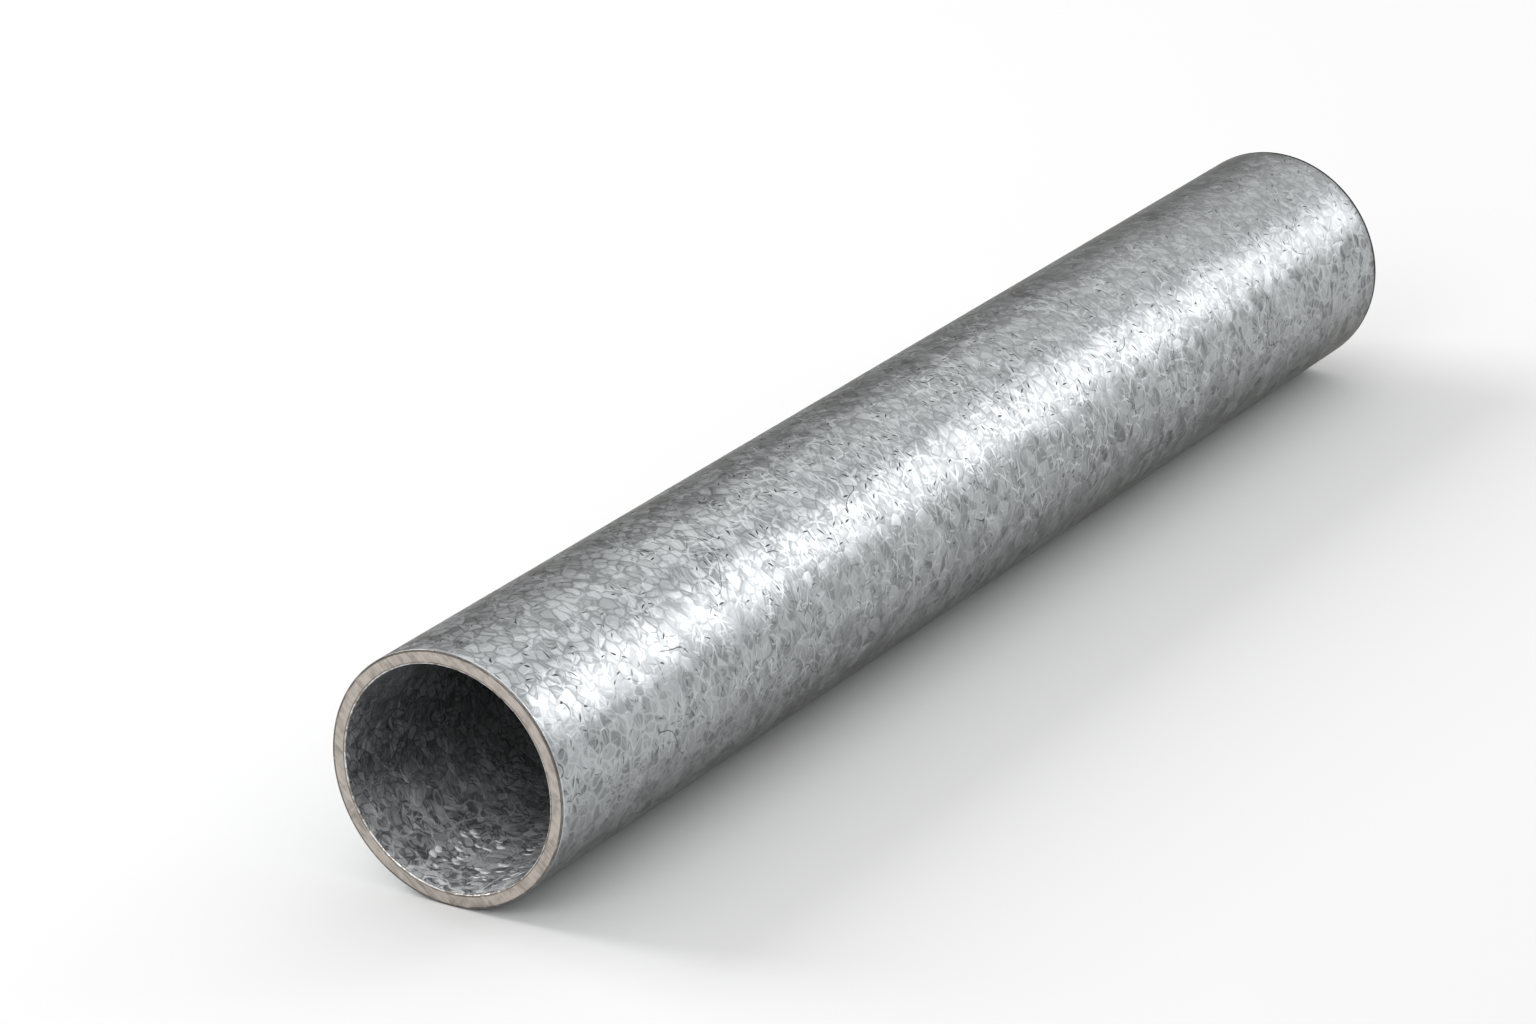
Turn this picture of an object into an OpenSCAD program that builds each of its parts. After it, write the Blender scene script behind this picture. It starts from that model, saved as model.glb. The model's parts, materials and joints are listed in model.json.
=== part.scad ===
// Galvanised steel pipe: one straight round tube, sawn square at both ends.
// It lies along X on the plane Z = 0, with the origin under its middle.

/* [Pipe] */
// Outside diameter over the zinc
outside_d = 88.9; // [42.4:0.1:168.3]
// Wall thickness
wall = 5; // [2.3:0.1:8]
// Length from one sawn face to the other
pipe_length = 600; // [100:1:6000]

/* [Sawn ends] */
// Edge break left by the deburring tool on the outer rim
outer_edge_break = 0.4; // [0.1:0.05:1]
// Edge break left by the deburring tool on the bore rim
bore_edge_break = 0.5; // [0.1:0.05:1]

/* [Hidden] */
$fn = 128;
outside_r = outside_d / 2;
bore_r = outside_r - wall;
half_length = pipe_length / 2;

// Corners of the wall's section at one sawn end, from the bore to the outside:
// radius is the first coordinate, and distance along the axis the second.
function end_section(side) = [
    [bore_r, side * (half_length - bore_edge_break)],
    [bore_r + bore_edge_break, side * half_length],
    [outside_r - outer_edge_break, side * half_length],
    [outside_r, side * (half_length - outer_edge_break)]
];

// The whole section of the wall, up one end and back along the other.
module wall_section() {
    far_end = end_section(1);
    near_end = end_section(-1);
    polygon(concat(far_end, [for (i = [len(near_end) - 1 : -1 : 0]) near_end[i]]));
}

// The wall turned about its axis, then laid down along X.
module pipe() {
    color([0.66, 0.68, 0.69])
    translate([0, 0, outside_r])
    rotate([0, 90, 0])
    rotate_extrude() wall_section();
}

pipe();
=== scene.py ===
"""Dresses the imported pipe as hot-dip galvanised steel with bare sawn ends, on a plain studio floor."""

import json
import math

import bpy
from bpy.props import FloatProperty, FloatVectorProperty, IntProperty, PointerProperty
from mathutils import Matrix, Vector


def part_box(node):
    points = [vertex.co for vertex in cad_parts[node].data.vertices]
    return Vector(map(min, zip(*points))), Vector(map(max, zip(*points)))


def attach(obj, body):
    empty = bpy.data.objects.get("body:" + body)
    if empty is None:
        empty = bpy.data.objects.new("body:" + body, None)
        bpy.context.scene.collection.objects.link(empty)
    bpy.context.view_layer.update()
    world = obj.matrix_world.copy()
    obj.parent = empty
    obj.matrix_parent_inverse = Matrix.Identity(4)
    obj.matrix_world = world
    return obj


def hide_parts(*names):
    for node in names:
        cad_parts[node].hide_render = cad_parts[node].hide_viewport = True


bl_info = {
    "name": "Galvanised Steel Pipe",
    "version": (1, 0, 0),
    "blender": (4, 5, 0),
    "location": "View3D > Sidebar > Pipe",
    "description": "Models a galvanised pipe over its CAD frame and sets it on a studio floor",
    "category": "Object",
}

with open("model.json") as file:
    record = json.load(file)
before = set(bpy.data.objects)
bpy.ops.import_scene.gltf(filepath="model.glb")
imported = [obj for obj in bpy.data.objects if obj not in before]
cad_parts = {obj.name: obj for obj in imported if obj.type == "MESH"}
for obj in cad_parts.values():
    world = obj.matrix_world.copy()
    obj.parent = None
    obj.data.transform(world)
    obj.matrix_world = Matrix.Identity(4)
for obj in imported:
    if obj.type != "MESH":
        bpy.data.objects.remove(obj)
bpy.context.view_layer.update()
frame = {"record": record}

# The pipe's own sizes, in metres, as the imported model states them
CAD_NODE = "pipe"
MILLIMETRE = 0.001
MOUNTS = {mount["name"]: mount["dims"] for mount in frame["record"]["mounts"]}
PIPE_LOW, PIPE_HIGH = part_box(CAD_NODE)
PIPE_LENGTH = PIPE_HIGH.x - PIPE_LOW.x
OUTSIDE_R = MOUNTS["outside"]["r_mm"] * MILLIMETRE
BORE_R = MOUNTS["bore"]["r_mm"] * MILLIMETRE
OUTER_BREAK = (PIPE_LENGTH - MOUNTS["outside"]["length_mm"] * MILLIMETRE) / 2
BORE_BREAK = (PIPE_LENGTH - MOUNTS["bore"]["length_mm"] * MILLIMETRE) / 2

# The points of the mesh that the zinc's ripple moves
ZINC_GROUP = "zinc"

# How finely the rims and the floor are cut, and the sharpest edge that is shaded smooth
RIM_SEGMENTS = 3
FLOOR_SIDES = 128
SMOOTH_ANGLE = math.radians(40)

# Two points closer than this, out from the axis, lie on one circle
SAME_RADIUS = 0.01 * MILLIMETRE

# How far along the pipe a face of a sawn end looks, and a face of a broken edge
SAWN_FACING = 0.98
EDGE_FACING = 0.1

# Mesh select modes: points, edges, faces
EDGE_MODE = (False, True, False)
FACE_MODE = (False, False, True)

# Where each finish goes on the pipe's mesh
OUTSIDE, BORE, SAWN, EDGE = range(4)

# How the zinc froze on each side of the wall: the crystals' size against those outside, the lean of their
# faces, how far they are stirred, in crystals, and the width of the seams between them, in small crystals
OUTSIDE_COAT = {"grain": 1.0, "lean": 0.027, "stir": 0.35, "seam": 0.22}
BORE_COAT = {"grain": 0.8, "lean": 0.13, "stir": 1.1, "seam": 0.2}

# Large crystals are wider round the pipe than along it, and lean less than small ones
LARGE_SHAPE = (1.0, 0.75, 0.75)
LARGE_LEAN = 0.4

# Steps aside in the noise, so that one pattern doesn't follow another
SMALL_SHIFT = (0.31, 0.17, 0.23)
CRACK_SHIFT = (0.2, 0.4, 0.6)

# Size of the swirls that stir the crystals, and size and reach of the curls near the ends, in large crystals
SWIRL_SIZE = 1.3
CURL_SIZE = 0.65
CURL_REACH = 0.5

# Size and reach of the swirls that bend the bore's curls and beads, in metres, and the shape of a bead
CURL_STIR = (0.011, 0.009)
BEAD_STIR = (0.004, 0.0025)
BEAD_SHAPE = (0.8, 0.65, 1.0)

# Strokes across the crystals: each one's turn, and its half length and half width in crystals
LONG_STROKE = {"turn": 0.0, "reach": 0.6, "width": 0.07}
CROSS_STROKE = {"turn": math.radians(62), "reach": 0.7, "width": 0.06}
SHORT_STROKE = {"turn": math.radians(148), "reach": 0.5, "width": 0.1}
DARK_STROKE = {"turn": math.radians(110), "reach": 0.7, "width": 0.045}
SLIT_STROKE = {"turn": math.radians(30), "reach": 0.35, "width": 0.085}

# How much a stroke may curve, how far it may lie from its crystal's middle, and the ribs in a crystal's width
STROKE_BEND = 1.0
STROKE_SHIFT = 0.5
RIB_COUNT = 5

# Shares of the crystals that have ribs and slits
RIBBED_SHARE = 0.35
SLIT_SHARE = 0.4

# Levels of the patches' noise at which strokes, slits and cracks begin and are complete
STROKE_PATCH = (0.35, 0.6)
SLIT_PATCH = (0.38, 0.5)
CRACK_PATCH = (0.56, 0.6)

# Strengths, each where the seams are pale and then where they are dark: the spread of the crystals' tones,
# the dark strokes, the pale strokes, the slits, and the lean of the faces
TONE_SPREAD = (0.78, 0.45)
DARKNESS = (0.45, 0.25)
PALENESS = (0.7, 0.53)
SLIT_STRENGTH = (0.6, 1.0)
BOLDNESS = (2.5, 0.7)

# What the open end adds to the spread of tones, to the tone as a painted highlight, and to the dark strokes
NEAR_SPREAD = 0.55
NEAR_PAINTED_HIGHLIGHT = 0.42
NEAR_DARKNESS = 0.16

# What the far half, where seams are dark, and the underside, where they are pale, take from the contrast
FAR_QUIET = 0.3
UNDER_QUIET = 0.5

# Roughness of each finish, from its shiniest places to its dullest
OUTSIDE_ROUGHNESS = (0.31, 0.42)
BORE_ROUGHNESS = (0.36, 0.6)
SAWN_ROUGHNESS = (0.40, 0.68)
EDGE_ROUGHNESS = (0.2, 0.4)

# How metallic the bore is where it is clean and where the zinc drained, and the sawn steel
BORE_METAL = (0.92, 0.4)
SAWN_METAL = 0.6

# Relief of the coat, in metres
STROKE_RISE = 0.01 * MILLIMETRE
SEAM_DEPTH = 0.02 * MILLIMETRE
FLAW_DEPTH = 0.05 * MILLIMETRE
BEAD_RISE = 0.9 * MILLIMETRE
CURL_RISE = 0.08 * MILLIMETRE

# Relief of the bare steel, in metres
MARK_DEPTH = 0.07 * MILLIMETRE
SCORE_DEPTH = 0.04 * MILLIMETRE
BLOTCH_DEPTH = 0.12 * MILLIMETRE
NICK_DEPTH = 0.05 * MILLIMETRE

# Zones, in metres: where each begins and where it is complete
# Along the pipe from its middle: towards the open end, towards the far end, and the painted shadow line at
# the far rim
NEAR_ZONE = (PIPE_LOW.x / 6, PIPE_LOW.x * 5 / 6)
FAR_ZONE = (0.0, PIPE_HIGH.x * 2 / 3)
FAR_RIM_SHADOW_ZONE = (
    PIPE_HIGH.x - OUTER_BREAK - 1.3 * MILLIMETRE,
    PIPE_HIGH.x - OUTER_BREAK - 0.9 * MILLIMETRE,
)
# In from the nearer end: the coats' curled fringe, the clean collar, the bore's mouth and its pool of beads
FRINGE_ZONE = (0.2, 0.09)
COLLAR_ZONE = (OUTER_BREAK + 0.9 * MILLIMETRE, OUTER_BREAK + 0.6 * MILLIMETRE)
MOUTH_ZONE = (0.105, 0.01)
POOL_START = (0.008, 0.016)
POOL_END = (0.05, 0.032)
# Height over the floor: outside, the top, where the seams are painted dark as shade, and the underside,
# where they are painted pale as light; then in the bore the drained bottom, painted paler partly as light
# falling in at the open ends, the plain top, the curls and the pool of beads
SEAM_SHADE_ZONE = (OUTSIDE_R * 1.6, OUTSIDE_R * 2.2)
UNDER_ZONE = (OUTSIDE_R * 1.15, OUTSIDE_R * 0.5)
DRAINED_AND_LIT_ZONE = (OUTSIDE_R * 1.06, OUTSIDE_R * 0.38)
PLAIN_ZONE = (OUTSIDE_R * 1.2, OUTSIDE_R * 2.0)
CURL_ZONE = (0.06, 0.03)
POOL_HEIGHT = (0.010, 0.007)
# Out from the axis: the painted shadow lines along the two rims of a sawn face, and the way from one rim to
# the other
OUTER_SHADOW_LINE = (OUTSIDE_R - OUTER_BREAK - 0.6 * MILLIMETRE, OUTSIDE_R - OUTER_BREAK - 0.2 * MILLIMETRE)
BORE_SHADOW_LINE = (BORE_R + BORE_BREAK + 0.5 * MILLIMETRE, BORE_R + BORE_BREAK + 0.2 * MILLIMETRE)
RIM_TO_RIM = (BORE_R + MILLIMETRE, OUTSIDE_R - MILLIMETRE)

# How far noise moves the edges of the fringe, of the top outside, where the seams are painted dark as shade,
# and of the zones in the bore, in metres
FRINGE_WANDER = 0.1
SEAM_SHADE_WANDER = 0.03
BORE_WANDER = 0.02

# Softboxes: how far towards the open end each points, the way to it from there, its distance and its width
SOFTBOXES = {
    "key": {"towards": 0.5, "way": (0.797, -0.448, 0.408), "distance": 2.2, "width": 1.0},
    "low": {"towards": 0.5, "way": (0.797, -0.595, 0.10), "distance": 2.2, "width": 0.5},
    "top": {"towards": 0.5, "way": (0.797, 0.16, 0.58), "distance": 2.4, "width": 1.2},
    "side": {"towards": 0.0, "way": (-0.15, 0.80, 0.58), "distance": 2.4, "width": 1.2},
    "front": {"towards": 1.0, "way": (-0.78, -0.12, 0.62), "distance": 1.8, "width": 0.8},
}


class PipeSizes(bpy.types.PropertyGroup):
    """Sizes of the pipe, from the CAD frame, and how finely its mesh is cut"""

    outside_r: FloatProperty(
        name="Outside radius", description="From the axis to the zinc", default=OUTSIDE_R,
        subtype="DISTANCE", unit="LENGTH", precision=5,
    )
    bore_r: FloatProperty(
        name="Bore radius", description="From the axis to the inside of the wall", default=BORE_R,
        subtype="DISTANCE", unit="LENGTH", precision=5,
    )
    length: FloatProperty(
        name="Length", description="From one sawn face to the other", default=PIPE_LENGTH,
        subtype="DISTANCE", unit="LENGTH", precision=5,
    )
    outer_break: FloatProperty(
        name="Outer edge break", description="Width of the deburred edge outside", default=OUTER_BREAK,
        subtype="DISTANCE", unit="LENGTH", precision=5,
    )
    bore_break: FloatProperty(
        name="Bore edge break", description="Width of the deburred edge in the bore", default=BORE_BREAK,
        subtype="DISTANCE", unit="LENGTH", precision=5,
    )
    sides: IntProperty(name="Sides", description="Faces round the pipe", default=168, min=24)
    cuts: IntProperty(
        name="Cuts", description="Cuts along the pipe, for the zinc's ripple", default=199, min=1,
    )
    ripple: FloatProperty(
        name="Ripple", description="How far the zinc stands in and out", default=0.00012,
        subtype="DISTANCE", unit="LENGTH", precision=5,
    )
    ripple_size: FloatProperty(
        name="Ripple size", description="Length of the zinc's slow waves", default=0.022,
        subtype="DISTANCE", unit="LENGTH", precision=4,
    )


class ZincFinish(bpy.types.PropertyGroup):
    """Colours of the zinc coat, and the sizes of what is seen in it"""

    bright: FloatVectorProperty(
        name="Bright zinc", description="Colour of the brightest crystals", default=(0.486, 0.504, 0.516),
        subtype="COLOR", min=0, max=1,
    )
    dull: FloatVectorProperty(
        name="Dull zinc", description="Colour of the dullest crystals", default=(0.275, 0.286, 0.294),
        subtype="COLOR", min=0, max=1,
    )
    # The pale seams underneath the pipe are painted light
    vein: FloatVectorProperty(
        name="Veins", description="Colour of pale strokes, pale seams and the collars at the rims",
        default=(0.70, 0.729, 0.748), subtype="COLOR", min=0, max=1,
    )
    graze: FloatVectorProperty(
        name="Graze", description="Share that the coat reflects when seen edge on",
        default=(0.285, 0.268, 0.239), subtype="COLOR", min=0, max=1,
    )
    # Pits also paint shade: the dark seams on the top outside and the line round the far rim
    pit: FloatVectorProperty(
        name="Pits", description="Colour of dark strokes, dark seams, slits and cracks",
        default=(0.07, 0.075, 0.08), subtype="COLOR", min=0, max=1,
    )
    crystal: FloatProperty(
        name="Crystal size", description="Width of a large crystal", default=0.008,
        subtype="DISTANCE", unit="LENGTH", precision=4,
    )
    flake: FloatProperty(
        name="Flake size", description="Width of a small crystal", default=0.0047,
        subtype="DISTANCE", unit="LENGTH", precision=4,
    )
    patch: FloatProperty(
        name="Patch size", description="Width of the patches with more or fewer strokes", default=0.018,
        subtype="DISTANCE", unit="LENGTH", precision=4,
    )
    crack: FloatProperty(
        name="Crack spacing", description="Distance between the longer black cracks", default=0.03,
        subtype="DISTANCE", unit="LENGTH", precision=4,
    )


class BoreFinish(bpy.types.PropertyGroup):
    """Colours and sizes of what the zinc left inside the pipe as it drained, paler along the bottom near the
    ends partly as painted light
    """

    plain: FloatVectorProperty(
        name="Plain zinc", description="Colour that calms the crystals at the top of the bore",
        default=(0.41, 0.422, 0.43), subtype="COLOR", min=0, max=1,
    )
    flake: FloatVectorProperty(
        name="Flakes", description="Colour of the pale crystals along the bottom",
        default=(0.86, 0.88, 0.89), subtype="COLOR", min=0, max=1,
    )
    # Near white: a painted glint on each bead, and the colour of the real pale cracks and strokes
    bead: FloatVectorProperty(
        name="Beads", description="Colour of the beads, cracks and strokes along the bottom",
        default=(0.97, 0.975, 0.98), subtype="COLOR", min=0, max=1,
    )
    bead_size: FloatProperty(
        name="Bead spacing", description="Distance between the beads", default=0.003,
        subtype="DISTANCE", unit="LENGTH", precision=4,
    )
    curl_size: FloatProperty(
        name="Curl spacing", description="Distance between the raised curls", default=0.0075,
        subtype="DISTANCE", unit="LENGTH", precision=4,
    )
    crack_size: FloatProperty(
        name="Crack spacing", description="Distance between the pale cracks", default=0.017,
        subtype="DISTANCE", unit="LENGTH", precision=4,
    )
    worn_size: FloatProperty(
        name="Worn size", description="Width of the stretches where the seams fade", default=0.008,
        subtype="DISTANCE", unit="LENGTH", precision=4,
    )
    ragged_size: FloatProperty(
        name="Ragged size", description="Width of the lobes at the edges of the drained bottom", default=0.02,
        subtype="DISTANCE", unit="LENGTH", precision=4,
    )


class SawnFinish(bpy.types.PropertyGroup):
    """Colours of the bare steel at the sawn ends, and the lie of the saw marks"""

    steel: FloatVectorProperty(
        name="Bare steel", description="Colour of the sawn face", default=(0.51, 0.46, 0.415),
        subtype="COLOR", min=0, max=1,
    )
    stain: FloatVectorProperty(
        name="Stain", description="Colour of the darker blotches", default=(0.29, 0.258, 0.226),
        subtype="COLOR", min=0, max=1,
    )
    # Besides the saw scores, this colour paints the shadow lines at the rims of the sawn faces and the shade
    # on the outer broken rims
    score: FloatVectorProperty(
        name="Scores", description="Colour of deep saw scores and of the lines at the rims",
        default=(0.10, 0.09, 0.08), subtype="COLOR", min=0, max=1,
    )
    burnish: FloatVectorProperty(
        name="Burnish", description="Colour of the bright steel on the broken rims",
        default=(0.80, 0.79, 0.78), subtype="COLOR", min=0, max=1,
    )
    mark: FloatProperty(
        name="Saw mark", description="Spacing of the saw's marks", default=0.0011,
        subtype="DISTANCE", unit="LENGTH", precision=5,
    )
    lean: FloatProperty(
        name="Lean", description="How far the marks lean from level", default=math.radians(42),
        subtype="ANGLE",
    )
    blotch: FloatProperty(
        name="Blotch size", description="Width of the stains on the sawn face", default=0.005,
        subtype="DISTANCE", unit="LENGTH", precision=4,
    )
    worn: FloatProperty(
        name="Worn size", description="Length of the gaps in the lines at the rims", default=0.004,
        subtype="DISTANCE", unit="LENGTH", precision=4,
    )
    nick: FloatProperty(
        name="Nick size", description="Width of the nicks in the broken rims", default=0.0016,
        subtype="DISTANCE", unit="LENGTH", precision=4,
    )
    rub: FloatProperty(
        name="Rub size", description="Length of the bright stretches of the broken rims", default=0.02,
        subtype="DISTANCE", unit="LENGTH", precision=4,
    )


class Studio(bpy.types.PropertyGroup):
    """The photograph's camera, the lights and the floor"""

    azimuth: FloatProperty(
        name="Azimuth", description="0 looks along +Y", default=math.radians(-58.996), subtype="ANGLE",
    )
    elevation: FloatProperty(
        name="Elevation", description="Height of the view over the floor", default=math.radians(21.563),
        subtype="ANGLE",
    )
    aim: FloatVectorProperty(
        name="Aim", description="Point at the picture's centre", default=(-0.0467, 0.0321, 0.04445),
        subtype="XYZ", precision=5,
    )
    distance: FloatProperty(
        name="Distance", description="From the camera to the aim point", default=2.00935,
        subtype="DISTANCE", unit="LENGTH",
    )
    lens: FloatProperty(name="Lens", description="Focal length in mm", default=131.21)
    floor: FloatVectorProperty(
        name="Floor", description="Colour of the floor", default=(0.64, 0.64, 0.64),
        subtype="COLOR", min=0, max=1,
    )
    floor_r: FloatProperty(
        name="Floor radius", description="From the pipe's middle to the floor's rim", default=3.0,
        subtype="DISTANCE", unit="LENGTH",
    )
    dome_low: FloatProperty(name="Dome, low", description="Brightness of the room at the floor", default=0.42)
    dome_high: FloatProperty(name="Dome, high", description="Brightness of the room overhead", default=1.12)
    key: FloatProperty(
        name="Key light", description="Watts of the key softbox", default=9.9, unit="POWER",
    )
    low: FloatProperty(
        name="Low light", description="Watts of the small softbox under the key", default=0.33, unit="POWER",
    )
    top: FloatProperty(
        name="Top light", description="Watts of the high softbox", default=3.0, unit="POWER",
    )
    side: FloatProperty(
        name="Side light", description="Watts of the softbox behind the pipe", default=42.0, unit="POWER",
    )
    front: FloatProperty(
        name="Front light", description="Watts of the softbox at the open end", default=9.0, unit="POWER",
    )


class Shade:
    """One output of a material's nodes; sums on it add Math nodes to the same tree."""

    def __init__(self, tree, output=None):
        self.tree = tree
        self.output = output

    def node(self, kind, settings=None, inputs=None, output=0):
        """Add a node: its settings first, then its sockets' values or links. Wraps one of its outputs."""
        made = self.tree.nodes.new("ShaderNode" + kind)
        for name, value in (settings or {}).items():
            setattr(made, name, value)
        for key, value in (inputs or {}).items():
            if isinstance(value, Shade):
                self.tree.links.new(value.output, made.inputs[key])
            else:
                made.inputs[key].default_value = value
        return Shade(self.tree, made.outputs[output])

    def out(self, name):
        """Another output of the same node."""
        return Shade(self.tree, self.output.node.outputs[name])

    def math(self, operation, *terms):
        """A Math node on these terms."""
        return self.node("Math", {"operation": operation}, dict(enumerate(terms)))

    def __add__(self, other):
        return self.math("ADD", self, other)

    __radd__ = __add__

    def __sub__(self, other):
        return self.math("SUBTRACT", self, other)

    def __rsub__(self, other):
        return self.math("SUBTRACT", other, self)

    def __mul__(self, other):
        return self.math("MULTIPLY", self, other)

    __rmul__ = __mul__

    def __truediv__(self, other):
        return self.math("DIVIDE", self, other)

    def __abs__(self):
        return self.math("ABSOLUTE", self)

    def most(self, other):
        """The larger of two values."""
        return self.math("MAXIMUM", self, other)

    def step(self, low, high):
        """A soft step from 0 at low to 1 at high; low may be the larger."""
        settings = {"interpolation_type": "SMOOTHSTEP"}
        return self.node("MapRange", settings, {"Value": self, "From Min": low, "From Max": high})

    def mix(self, first, second):
        """The colour from first to second, with this value as the factor."""
        colours = {0: self, 6: first, 7: second}
        return self.node("Mix", {"data_type": "RGBA"}, colours, output=2)

    def vector(self, operation, other):
        """A Vector Math node on this vector and another."""
        return self.node("VectorMath", {"operation": operation}, {0: self, 1: other})

    def scaled(self, factor):
        """This vector times a number or a value."""
        return self.node("VectorMath", {"operation": "SCALE"}, {0: self, "Scale": factor})

    def normalized(self):
        """This vector at a length of 1."""
        return self.node("VectorMath", {"operation": "NORMALIZE"}, {0: self})

    def dot(self, other):
        """The dot product of two vectors."""
        return self.node("VectorMath", {"operation": "DOT_PRODUCT"}, {0: self, 1: other}, output="Value")


def rgba(colour):
    """A colour property as a node socket takes it."""
    return (*colour, 1.0)


def between(low, high, share):
    """From low to high as the share, a number or a value over the surface, goes from 0 to 1."""
    return low + (high - low) * share


def start_material(name):
    """A new material with only its Principled shader, and the Object coordinates to draw on."""
    material = bpy.data.materials.new(name)
    material.use_nodes = True
    tree = material.node_tree
    place = Shade(tree).node("TexCoord", output="Object")
    return material, tree.nodes["Principled BSDF"], place


def fill_sockets(shader, values):
    """Set or link the shader's sockets."""
    for name, value in values.items():
        if isinstance(value, Shade):
            value.tree.links.new(value.output, shader.inputs[name])
        else:
            shader.inputs[name].default_value = value


def noise(place, size, detail=2.0, distortion=0.0):
    """Cloudy noise with lumps of about this size."""
    values = {"Vector": place, "Scale": 1 / size, "Detail": detail, "Distortion": distortion}
    return place.node("TexNoise", None, values)


def stirred(place, size, reach):
    """The place moved about by noise, so that what is drawn on it has no straight edges."""
    push = noise(place, size, detail=0.5).out("Color").vector("SUBTRACT", (0.5, 0.5, 0.5))
    return place.vector("ADD", push.scaled(reach))


def voronoi(place, size, feature="F1"):
    """Cells of about this size."""
    return place.node("TexVoronoi", {"feature": feature}, {"Vector": place, "Scale": 1 / size})


def hairlines(place, size, width, core=0.0):
    """Lines along the middle level of a noise: 1 on a line, 0 elsewhere."""
    return abs(noise(place, size, detail=1.0) - 0.5).step(width, core)


def channel(colour, name):
    """Red, green or blue of a colour."""
    return colour.node("SeparateColor", None, {"Color": colour}, output=name)


def spoke(place):
    """From the pipe's axis straight out to the place."""
    return place.vector("SUBTRACT", (0.0, 0.0, OUTSIDE_R)).vector("MULTIPLY", (0.0, 1.0, 1.0))


def from_axis(place):
    """Distance from the pipe's axis."""
    return place.node("VectorMath", {"operation": "LENGTH"}, {0: spoke(place)}, output="Value")


def along(place):
    """Distance along the pipe from its middle, less than nothing towards the open end."""
    return place.node("SeparateXYZ", None, {"Vector": place}, output="X")


def depth(place):
    """Distance along the pipe from the nearer sawn end."""
    return PIPE_LENGTH / 2 - abs(along(place))


def height_of(place):
    """Height over the floor."""
    return place.node("SeparateXYZ", None, {"Vector": place}, output="Z")


def bumped(height):
    """The normal of a relief whose height is in metres."""
    return height.node("Bump", None, {"Strength": 1.0, "Distance": 1.0, "Height": height})


class Crystals:
    """Flat zinc crystals of about one size, each with its own tone, shine, lean and strokes."""

    def __init__(self, place, outward, size, lean):
        self.place = place
        self.size = size
        self.cell = voronoi(place, size)
        colour = self.cell.out("Color")
        self.red = channel(colour, "Red")
        self.green = self.red.out("Green")
        self.blue = self.red.out("Blue")
        grain = colour.vector("SUBTRACT", (0.5, 0.5, 0.5))
        offset = place.vector("SUBTRACT", self.cell.out("Position"))
        self.face = offset.dot(grain.scaled(2 * lean))
        # Coordinates in the surface, from each crystal's middle, in widths of a crystal
        sideways = outward.vector("CROSS_PRODUCT", grain).normalized()
        self.side = offset.dot(sideways) / size
        self.run = offset.dot(outward.vector("CROSS_PRODUCT", sideways)) / size

    def seams(self, width):
        """Lines between the crystals: 1 on a line, 0 inside a crystal."""
        return (voronoi(self.place, self.size, "F2") - self.cell).step(width, width / 4)

    def stroke(self, turn, reach, width):
        """A curved stroke thinning to its ends, in every crystal: 1 on the stroke, 0 elsewhere."""
        shift_run = (self.green - 0.5) * STROKE_SHIFT
        shift_side = (self.blue - 0.5) * STROKE_SHIFT
        run = self.run * math.cos(turn) + self.side * math.sin(turn) + shift_run
        side = self.side * math.cos(turn) - self.run * math.sin(turn) + shift_side
        bend = (self.red - 0.5) * STROKE_BEND
        half = width - run * run * (width / reach ** 2)
        return (half - abs(side + run * run * bend)).step(0.0, width / 2)

    def ribs(self, count):
        """Fine lines side by side across every crystal: 1 on a line, 0 between."""
        wave = self.side * (2 * math.pi * count)
        return wave.math("SINE", wave).step(0.2, 1.0)

    def chosen(self, share):
        """1 in a share of the crystals, 0 in the others."""
        lot = self.red * 7.0 + self.green * 5.0
        return lot.math("FRACT", lot).step(share, share - 0.02)


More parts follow.
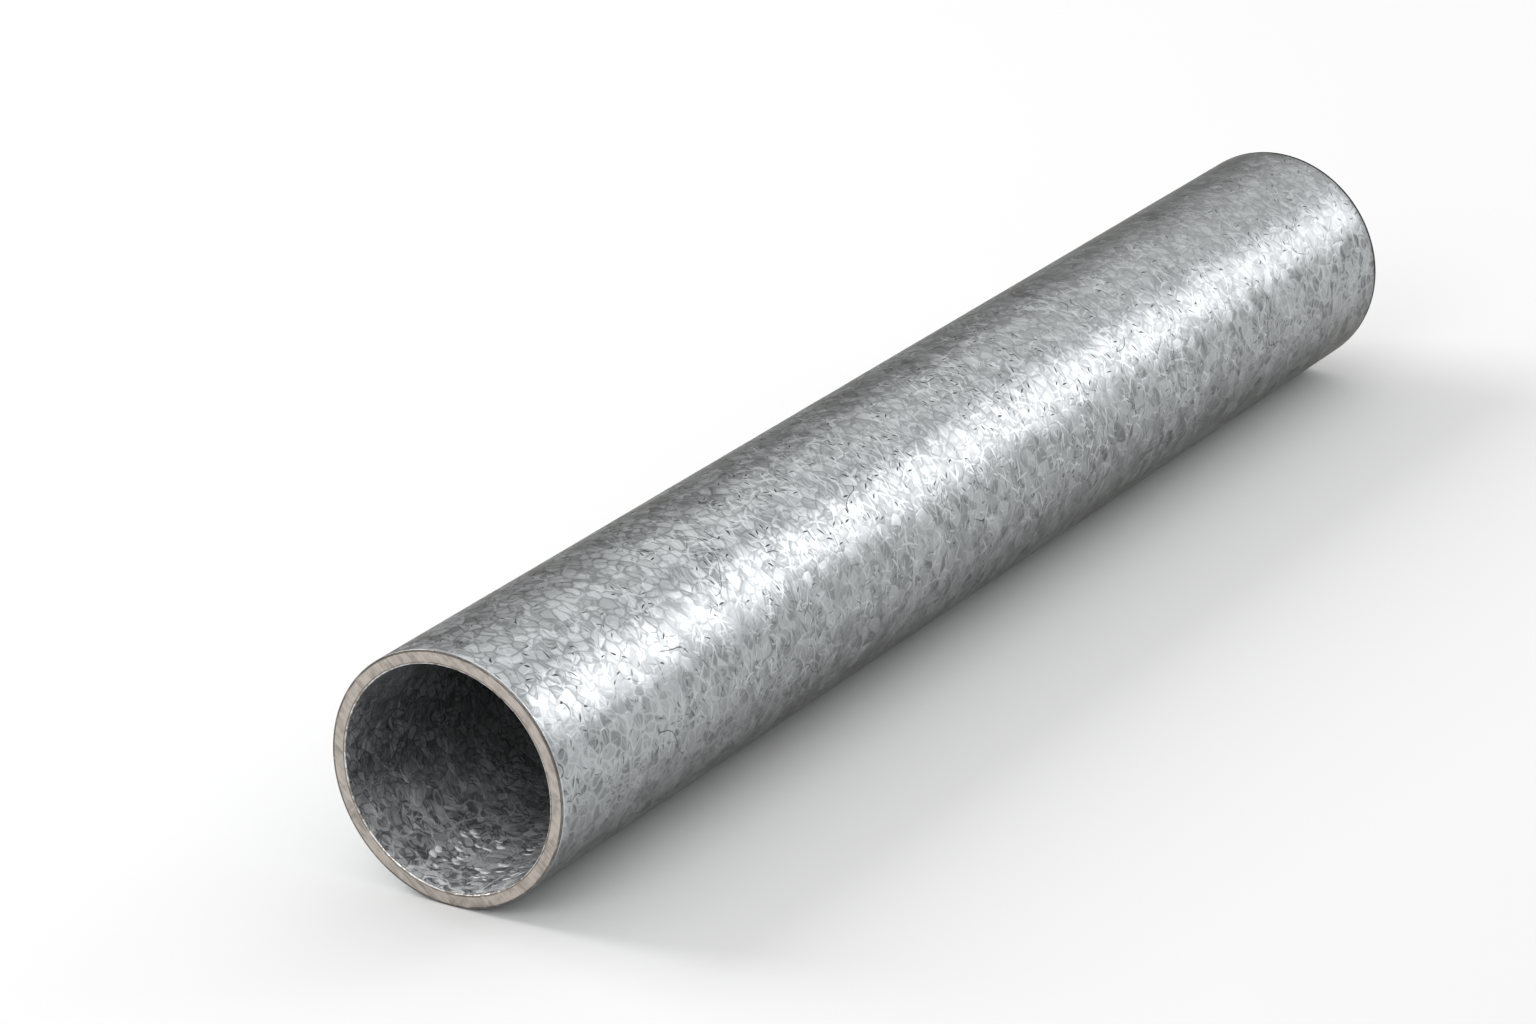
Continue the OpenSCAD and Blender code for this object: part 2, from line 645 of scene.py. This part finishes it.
class ZincCoat:
    """A coat of zinc: its colour, relief and dullness, and the strokes, seams and flaws that make them up.

    dark_seams is 1 where the seams between the crystals are dark, and 0 where they are pale; outside it
    follows the height, so the seams are painted shade on the top and painted light underneath.
    """

    def __init__(self, place, finish, dark_seams, grain, lean, stir, seam):
        self.place = place
        self.dark_seams = dark_seams
        self.patch = noise(place, finish.patch, detail=1.0)
        self.fringe = (depth(place) + self.patch * FRINGE_WANDER).step(*FRINGE_ZONE)
        self.find_contrast()
        self.grow_crystals(finish, grain, lean, stir)
        self.seams = self.small.seams(seam)
        self.draw_strokes()
        self.cut_flaws(finish)
        self.paint(finish)
        self.raise_relief()

    def find_contrast(self):
        """How near the open end each place is, and its contrast: less in the far half and underneath."""
        reach = along(self.place)
        self.near = reach.step(*NEAR_ZONE) * self.dark_seams
        far = reach.step(*FAR_ZONE) * self.dark_seams
        under = height_of(self.place).step(*UNDER_ZONE) * (1.0 - self.dark_seams)
        self.contrast = 1.0 - far * FAR_QUIET - under * UNDER_QUIET

    def grow_crystals(self, finish, grain, lean, stir):
        """Large crystals and small ones, with curled edges near the ends."""
        size = finish.crystal * grain
        outward = spoke(self.place).normalized()
        flow = stirred(self.place, size * SWIRL_SIZE, size * stir)
        flow = stirred(flow, size * CURL_SIZE, self.fringe * (size * CURL_REACH))
        self.large = Crystals(flow.vector("MULTIPLY", LARGE_SHAPE), outward, size, lean * LARGE_LEAN)
        self.small = Crystals(flow.vector("ADD", SMALL_SHIFT), outward, finish.flake * grain, lean)
        self.level = 0.2 * self.large.red + 0.8 * self.small.green
        self.dullness = 0.5 * self.large.green + 0.5 * self.small.red

    def draw_strokes(self):
        """Pale and dark strokes across the crystals, with the pale and the dark seams."""
        pale = self.large.stroke(**LONG_STROKE).most(self.large.stroke(**CROSS_STROKE))
        pale = pale.most(self.small.stroke(**SHORT_STROKE) * 0.8)
        pale = pale.most(self.large.ribs(RIB_COUNT) * self.large.chosen(RIBBED_SHARE) * 0.5)
        pale = pale * between(0.6, 1.0, self.patch.step(*STROKE_PATCH)) * between(1.0, 0.75, self.fringe)
        # Outside, the seams are painted pale as light underneath and dark as shade on the top
        lace = self.seams * between(0.25, 0.7, self.fringe)
        self.pale = pale.most(lace * (1.0 - self.dark_seams))
        self.dark = self.large.stroke(**DARK_STROKE).most(self.seams * self.dark_seams)

    def cut_flaws(self, finish):
        """Short black slits, and a few longer cracks."""
        slit = self.small.stroke(**SLIT_STROKE) * self.small.chosen(SLIT_SHARE)
        slit = slit * self.patch.step(*SLIT_PATCH) * between(*SLIT_STRENGTH, self.dark_seams)
        crack = hairlines(self.place, finish.crack, 0.004) * self.patch.step(*CRACK_PATCH)
        self.flaw = slit.most(crack * 0.8)

    def paint(self, finish):
        """Crystals from dull to bright, then the dark strokes, the pale ones and the flaws over them."""
        spread = (between(*TONE_SPREAD, self.dark_seams) + self.near * NEAR_SPREAD) * self.contrast
        # Towards the open end the tone is raised: a painted highlight on the top outside, painted light in
        # the bore's mouth
        tone = 0.5 + (self.level.step(0.15, 0.85) - 0.5) * spread + self.near * NEAR_PAINTED_HIGHLIGHT
        darkness = (between(*DARKNESS, self.dark_seams) + self.near * NEAR_DARKNESS) * self.contrast
        paleness = between(*PALENESS, self.dark_seams) * self.contrast
        colour = tone.mix(rgba(finish.dull), rgba(finish.bright))
        colour = (self.dark * darkness).mix(colour, rgba(finish.pit))
        colour = (self.pale * paleness).mix(colour, rgba(finish.vein))
        self.colour = (self.flaw * self.contrast).mix(colour, rgba(finish.pit))

    def raise_relief(self):
        """Leaning faces and raised strokes, with the seams and flaws cut in."""
        boldness = between(*BOLDNESS, self.dark_seams) * self.contrast
        faces = (self.large.face + self.small.face) * boldness
        self.height = faces + self.pale * STROKE_RISE - self.seams * SEAM_DEPTH - self.flaw * FLAW_DEPTH


def outside_material(finish):
    """Zinc outside the pipe, with a clean collar beside each rim and a dark line of painted shade round the
    far one.
    """
    material, shader, place = start_material("zinc_outside")
    # 1 on the top, where the seams are painted dark as shade, 0 underneath, where they are painted pale as
    # light
    high = (height_of(place) + noise(place, finish.patch) * SEAM_SHADE_WANDER).step(*SEAM_SHADE_ZONE)
    coat = ZincCoat(place, finish, high, **OUTSIDE_COAT)
    collar = depth(place).step(*COLLAR_ZONE)
    far_rim_shadow = along(place).step(*FAR_RIM_SHADOW_ZONE)
    colour = (collar * 0.7).mix(coat.colour, rgba(finish.vein))
    fill_sockets(shader, {
        "Base Color": (far_rim_shadow * 0.95).mix(colour, rgba(finish.pit)),
        "Roughness": between(*OUTSIDE_ROUGHNESS, coat.dullness) + coat.flaw * 0.2 - collar * 0.1,
        "Metallic": 1.0,
        "Specular Tint": rgba(finish.graze),
        "Normal": bumped(coat.height),
    })
    return material


def bead_swell(place, size):
    """Round beads of many sizes: 1 in a bead's middle, 0 between the beads."""
    flow = stirred(place, *BEAD_STIR)
    cell = voronoi(flow.vector("MULTIPLY", BEAD_SHAPE), size)
    lot = channel(cell.out("Color"), "Red")
    return (cell * between(1.9, 0.75, lot)).step(0.5, 0.0)


def bore_material(finish, bore):
    """Zinc in the bore: plain above, with pale flakes, cracks and beads along the bottom near the ends, paler
    there partly as painted light from the open ends.
    """
    material, shader, place = start_material("zinc_bore")
    coat = ZincCoat(place, finish, 1.0, **BORE_COAT)
    up = height_of(place)
    inward = depth(place)
    ragged_up = up + noise(place, bore.ragged_size) * BORE_WANDER
    # drained: the bottom near the mouth, where the zinc drained, painted paler and less metallic partly as
    # the light that falls in there
    drained = ragged_up.step(*DRAINED_AND_LIT_ZONE) * inward.step(*MOUTH_ZONE)
    plain = ragged_up.step(*PLAIN_ZONE) * 0.65
    pool = up.step(*POOL_HEIGHT) * inward.step(*POOL_END) * inward.step(*POOL_START)
    # Raised curls, thin pale cracks in the drained part, beads in the pool, and seams that come and go
    curl = hairlines(stirred(place, *CURL_STIR), bore.curl_size, 0.07, 0.035)
    crack = hairlines(place.vector("ADD", CRACK_SHIFT), bore.crack_size, 0.02, 0.006) * drained
    swell = bead_swell(place, bore.bead_size) * pool
    bead = swell.step(0.02, 0.12)
    seam = coat.dark * noise(place, bore.worn_size).step(0.3, 0.6)
    # Colour: the dark ground, then the pale flakes, then the strokes, cracks and beads
    ground = (seam * (0.15 - plain * 0.15 + drained * 0.55)).most(drained * 0.47)
    flake = (coat.level.step(0.4, 0.75) * 0.9).most(curl * up.step(*CURL_ZONE) * 0.5) * (1.0 - seam * 0.8)
    # Beads take the near-white bead colour and lose their metal: painted glints
    stroke = (coat.pale * drained * 0.85).most(crack * 0.7).most(bead)
    colour = plain.mix(coat.colour, rgba(bore.plain))
    colour = ground.mix(colour, rgba(finish.pit))
    colour = (flake * drained).mix(colour, rgba(bore.flake))
    fill_sockets(shader, {
        "Base Color": stroke.mix(colour, rgba(bore.bead)),
        "Roughness": between(*BORE_ROUGHNESS, coat.dullness) - bead * 0.3,
        "Metallic": between(*BORE_METAL, drained) * (1.0 - bead),
        "Specular Tint": rgba(finish.graze),
        "Normal": bumped(coat.height * (1.0 - plain) + swell * BEAD_RISE + curl * CURL_RISE),
    })
    return material


def sawn_material(finish):
    """Bare steel as the band saw left it: parallel marks, blotches and a few deeper scores."""
    material, shader, place = start_material("sawn_steel")
    turn = {"Vector": place, "Rotation": (-finish.lean, 0.0, 0.0)}
    across = place.node("Mapping", None, turn).vector("MULTIPLY", (0.0, 0.09, 1.0))
    marks = noise(across, finish.mark, detail=3.0)
    score = noise(across, finish.mark * 2.7, detail=1.0).step(0.64, 0.74)
    blotch = noise(place, finish.blotch, detail=4.0, distortion=0.6)
    level = 0.42 * marks + 0.58 * blotch
    colour = level.step(0.34, 0.60).mix(rgba(finish.stain), rgba(finish.steel))
    # Thin dark lines where the face meets the broken edges: painted shadow in the creases at the rims
    reach = from_axis(place)
    line = reach.step(*OUTER_SHADOW_LINE) * 0.95 + reach.step(*BORE_SHADOW_LINE) * 0.85
    line = line * noise(place, finish.worn).step(0.2, 0.5)
    # The painted shadow lines at the rims, with the real saw scores
    flaw = line.most(score * 0.35)
    fill_sockets(shader, {
        "Base Color": flaw.mix(colour, rgba(finish.score)),
        "Roughness": between(*SAWN_ROUGHNESS, level),
        "Metallic": SAWN_METAL,
        "Normal": bumped(marks * MARK_DEPTH - flaw * SCORE_DEPTH + blotch * BLOTCH_DEPTH),
    })
    return material


def edge_material(finish):
    """The broken rims: darkened outside as painted shade, nicked and partly bright in the bore."""
    material, shader, place = start_material("deburred_edge")
    nick = noise(place, finish.nick, detail=3.0)
    rubbed = noise(place, finish.rub, detail=3.0)
    outer_rim_shade = from_axis(place).step(*RIM_TO_RIM)
    steel = (nick * 0.5 + rubbed * 0.5).step(0.42, 0.58).mix(rgba(finish.stain), rgba(finish.burnish))
    fill_sockets(shader, {
        # Outside, the rim is darkened towards the score colour as painted shade
        "Base Color": (outer_rim_shade * 0.85).mix(steel, rgba(finish.score)),
        "Roughness": between(*EDGE_ROUGHNESS, nick),
        "Metallic": 1.0,
        "Normal": bumped(nick * NICK_DEPTH),
    })
    return material


def select_parts(mesh, kind, select_mode, wanted):
    """In edit mode, select only the mesh's edges or faces that pass the test."""
    bpy.ops.object.mode_set(mode="OBJECT")
    for part in (*mesh.vertices, *mesh.edges, *mesh.polygons):
        part.select = False
    for part in getattr(mesh, kind):
        part.select = wanted(part)
    bpy.context.tool_settings.mesh_select_mode = select_mode
    bpy.ops.object.mode_set(mode="EDIT")


def select_edges(mesh, wanted):
    """In edit mode, select only the edges whose two ends pass the test."""
    def ends_pass(edge):
        first, second = (mesh.vertices[index].co for index in edge.vertices)
        return wanted(first, second)

    select_parts(mesh, "edges", EDGE_MODE, ends_pass)


class PIPE_OT_make_pipe(bpy.types.Operator):
    """Model the pipe's wall, break its rims, ripple its zinc and give it its finishes"""

    bl_idname = "galvanised.make_pipe"
    bl_label = "Make Pipe"

    def execute(self, context):
        sizes = context.scene.pipe_sizes
        pipe = self.add_wall(sizes)
        self.break_rims(pipe.data, sizes)
        self.cut_along(pipe.data, sizes)
        self.ripple_zinc(pipe, sizes)
        self.give_finishes(context, pipe, sizes)
        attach(pipe, "root")
        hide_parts(CAD_NODE)
        return {"FINISHED"}

    def add_wall(self, sizes):
        """A cylinder with its ends inset by the wall and the two inner discs bridged into a bore."""
        bpy.ops.object.select_all(action="DESELECT")
        bpy.ops.mesh.primitive_cylinder_add(
            vertices=sizes.sides, radius=sizes.outside_r, depth=sizes.length,
            location=(0, 0, sizes.outside_r), rotation=(0, math.pi / 2, 0),
        )
        pipe = bpy.context.object
        pipe.name = pipe.data.name = "galvanised_pipe"
        bpy.ops.object.transform_apply(location=True, rotation=True, scale=True)
        select_parts(pipe.data, "polygons", FACE_MODE, lambda face: abs(face.normal.x) > SAWN_FACING)
        flat_share = math.cos(math.pi / sizes.sides)
        bpy.ops.mesh.inset(thickness=(sizes.outside_r - sizes.bore_r) * flat_share)
        bpy.ops.mesh.bridge_edge_loops()
        bpy.ops.mesh.select_all(action="SELECT")
        bpy.ops.mesh.normals_make_consistent(inside=False)
        bpy.ops.object.mode_set(mode="OBJECT")
        return pipe

    def break_rims(self, mesh, sizes):
        """Bevel the two outer rims and the two bore rims."""
        axis_height = sizes.outside_r
        middle_r = (sizes.outside_r + sizes.bore_r) / 2
        bore_reach = sizes.bore_r + sizes.bore_break / 2

        def radius(point):
            return math.hypot(point.y, point.z - axis_height)

        def round_rim(first, second):
            level = abs(first.x - second.x) < sizes.outer_break / 2
            return level and abs(radius(first) - radius(second)) < SAME_RADIUS

        select_edges(mesh, lambda first, second: round_rim(first, second) and radius(first) > middle_r)
        bpy.ops.mesh.bevel(offset=sizes.outer_break, segments=RIM_SEGMENTS, affect="EDGES")
        select_edges(mesh, lambda first, second: round_rim(first, second) and radius(first) < bore_reach)
        bpy.ops.mesh.bevel(offset=sizes.bore_break, segments=RIM_SEGMENTS, affect="EDGES")
        bpy.ops.object.mode_set(mode="OBJECT")

    def cut_along(self, mesh, sizes):
        """Cut the long faces across, so that the zinc has points to ripple."""
        select_edges(mesh, lambda first, second: abs(first.x - second.x) > sizes.length / 2)
        bpy.ops.mesh.subdivide(number_cuts=sizes.cuts)
        bpy.ops.object.mode_set(mode="OBJECT")

    def ripple_zinc(self, pipe, sizes):
        """Slow waves and finer lumps in the coat, applied to the mesh."""
        skin = pipe.vertex_groups.new(name=ZINC_GROUP)
        end = sizes.length / 2 - 2 * max(sizes.outer_break, sizes.bore_break)
        moved = [point.index for point in pipe.data.vertices if abs(point.co.x) < end]
        skin.add(moved, 1.0, "REPLACE")
        for name, size in (("zinc_waves", sizes.ripple_size), ("zinc_lumps", sizes.ripple_size / 3)):
            texture = bpy.data.textures.new(name, "CLOUDS")
            texture.noise_scale = size
            texture.noise_depth = 2
            bpy.ops.object.modifier_add(type="DISPLACE")
            wave = pipe.modifiers[-1]
            wave.texture = texture
            wave.texture_coords = "LOCAL"
            wave.vertex_group = ZINC_GROUP
            wave.strength = sizes.ripple * size / sizes.ripple_size
            bpy.ops.object.modifier_apply(modifier=wave.name)
        pipe.vertex_groups.clear()

    def give_finishes(self, context, pipe, sizes):
        """Materials on the outside, the bore, the sawn faces and the broken edges."""
        zinc = context.scene.zinc_finish
        sawn = context.scene.sawn_finish
        pipe.data.materials.append(outside_material(zinc))
        pipe.data.materials.append(bore_material(zinc, context.scene.bore_finish))
        pipe.data.materials.append(sawn_material(sawn))
        pipe.data.materials.append(edge_material(sawn))
        middle_r = (sizes.outside_r + sizes.bore_r) / 2
        for face in pipe.data.polygons:
            radius = math.hypot(face.center.y, face.center.z - sizes.outside_r)
            if abs(face.normal.x) > SAWN_FACING:
                face.material_index = SAWN
            elif abs(face.normal.x) > EDGE_FACING:
                face.material_index = EDGE
            else:
                face.material_index = OUTSIDE if radius > middle_r else BORE
        bpy.ops.object.shade_smooth_by_angle(angle=SMOOTH_ANGLE)


class PIPE_OT_set_stage(bpy.types.Operator):
    """Lay the floor, hang the softboxes and stand the camera where the photograph was taken"""

    bl_idname = "galvanised.set_stage"
    bl_label = "Set Stage"

    def execute(self, context):
        studio = context.scene.studio
        self.lay_floor(studio)
        self.light_room(context, studio)
        for name, softbox in SOFTBOXES.items():
            self.hang_softbox(name + "_softbox", power=getattr(studio, name), **softbox)
        self.stand_camera(context, studio)
        context.scene.view_settings.view_transform = "Standard"
        return {"FINISHED"}

    def lay_floor(self, studio):
        """A wide matt disc under the pipe."""
        bpy.ops.object.select_all(action="DESELECT")
        bpy.ops.mesh.primitive_circle_add(
            vertices=FLOOR_SIDES, radius=studio.floor_r, fill_type="NGON", location=(0, 0, PIPE_LOW.z)
        )
        floor = bpy.context.object
        floor.name = "floor"
        paint = bpy.data.materials.new("floor_paint")
        paint.use_nodes = True
        tree = paint.node_tree
        matt = Shade(tree).node("BsdfDiffuse", None, {"Color": rgba(studio.floor)})
        tree.links.new(matt.output, tree.nodes["Material Output"].inputs["Surface"])
        tree.nodes.remove(tree.nodes["Principled BSDF"])
        floor.data.materials.append(paint)

    def light_room(self, context, studio):
        """A dome of soft light, brightest overhead."""
        world = bpy.data.worlds.new("soft_room")
        world.use_nodes = True
        context.scene.world = world
        tree = world.node_tree
        direction = Shade(tree).node("TexCoord", output="Generated")
        level_light = rgba([studio.dome_low] * 3)
        overhead_light = rgba([studio.dome_high] * 3)
        light = height_of(direction).step(0.0, 1.0).mix(level_light, overhead_light)
        tree.links.new(light.output, tree.nodes["Background"].inputs["Color"])

    def hang_softbox(self, name, power, towards, way, distance, width):
        """A square light that faces a point on the pipe's axis."""
        target = Vector((PIPE_LOW.x * towards, 0.0, OUTSIDE_R))
        place = target + Vector(way).normalized() * distance
        turn = (target - place).to_track_quat("-Z", "Y").to_euler()
        bpy.ops.object.light_add(type="AREA", location=place, rotation=turn)
        softbox = bpy.context.object
        softbox.name = name
        softbox.data.size = width
        softbox.data.energy = power

    def stand_camera(self, context, studio):
        """The camera, looking at its aim point from the photograph's angle."""
        level = math.cos(studio.elevation)
        direction = Vector((
            math.sin(studio.azimuth) * level,
            -math.cos(studio.azimuth) * level,
            math.sin(studio.elevation),
        ))
        aim = Vector(studio.aim)
        turn = (-direction).to_track_quat("-Z", "Y").to_euler()
        bpy.ops.object.camera_add(location=aim + direction * studio.distance, rotation=turn)
        camera = bpy.context.object
        camera.name = "photo_camera"
        camera.data.lens = studio.lens
        context.scene.camera = camera


class PIPE_PT_panel(bpy.types.Panel):
    """Lists the steps that make the pipe and its stage"""

    bl_idname = "PIPE_PT_panel"
    bl_label = "Galvanised Pipe"
    bl_space_type = "VIEW_3D"
    bl_region_type = "UI"
    bl_category = "Pipe"

    def draw(self, context):
        for step in STEPS:
            self.layout.operator(step.bl_idname)
        for group in GROUPS:
            settings = getattr(context.scene, group)
            for name in settings.__annotations__:
                self.layout.prop(settings, name)


STEPS = (PIPE_OT_make_pipe, PIPE_OT_set_stage)
GROUPS = {
    "pipe_sizes": PipeSizes,
    "zinc_finish": ZincFinish,
    "bore_finish": BoreFinish,
    "sawn_finish": SawnFinish,
    "studio": Studio,
}


def register():
    """Add the settings, the steps and the panel."""
    for group, kind in GROUPS.items():
        bpy.utils.register_class(kind)
        setattr(bpy.types.Scene, group, PointerProperty(type=kind))
    for kind in (*STEPS, PIPE_PT_panel):
        bpy.utils.register_class(kind)


def unregister():
    """Take the panel, the steps and the settings away."""
    for kind in (PIPE_PT_panel, *reversed(STEPS)):
        bpy.utils.unregister_class(kind)
    for group, kind in GROUPS.items():
        delattr(bpy.types.Scene, group)
        bpy.utils.unregister_class(kind)


def main():
    """Make the pipe and its stage."""
    register()
    bpy.ops.galvanised.make_pipe()
    bpy.ops.galvanised.set_stage()


if __name__ == "__main__":
    main()
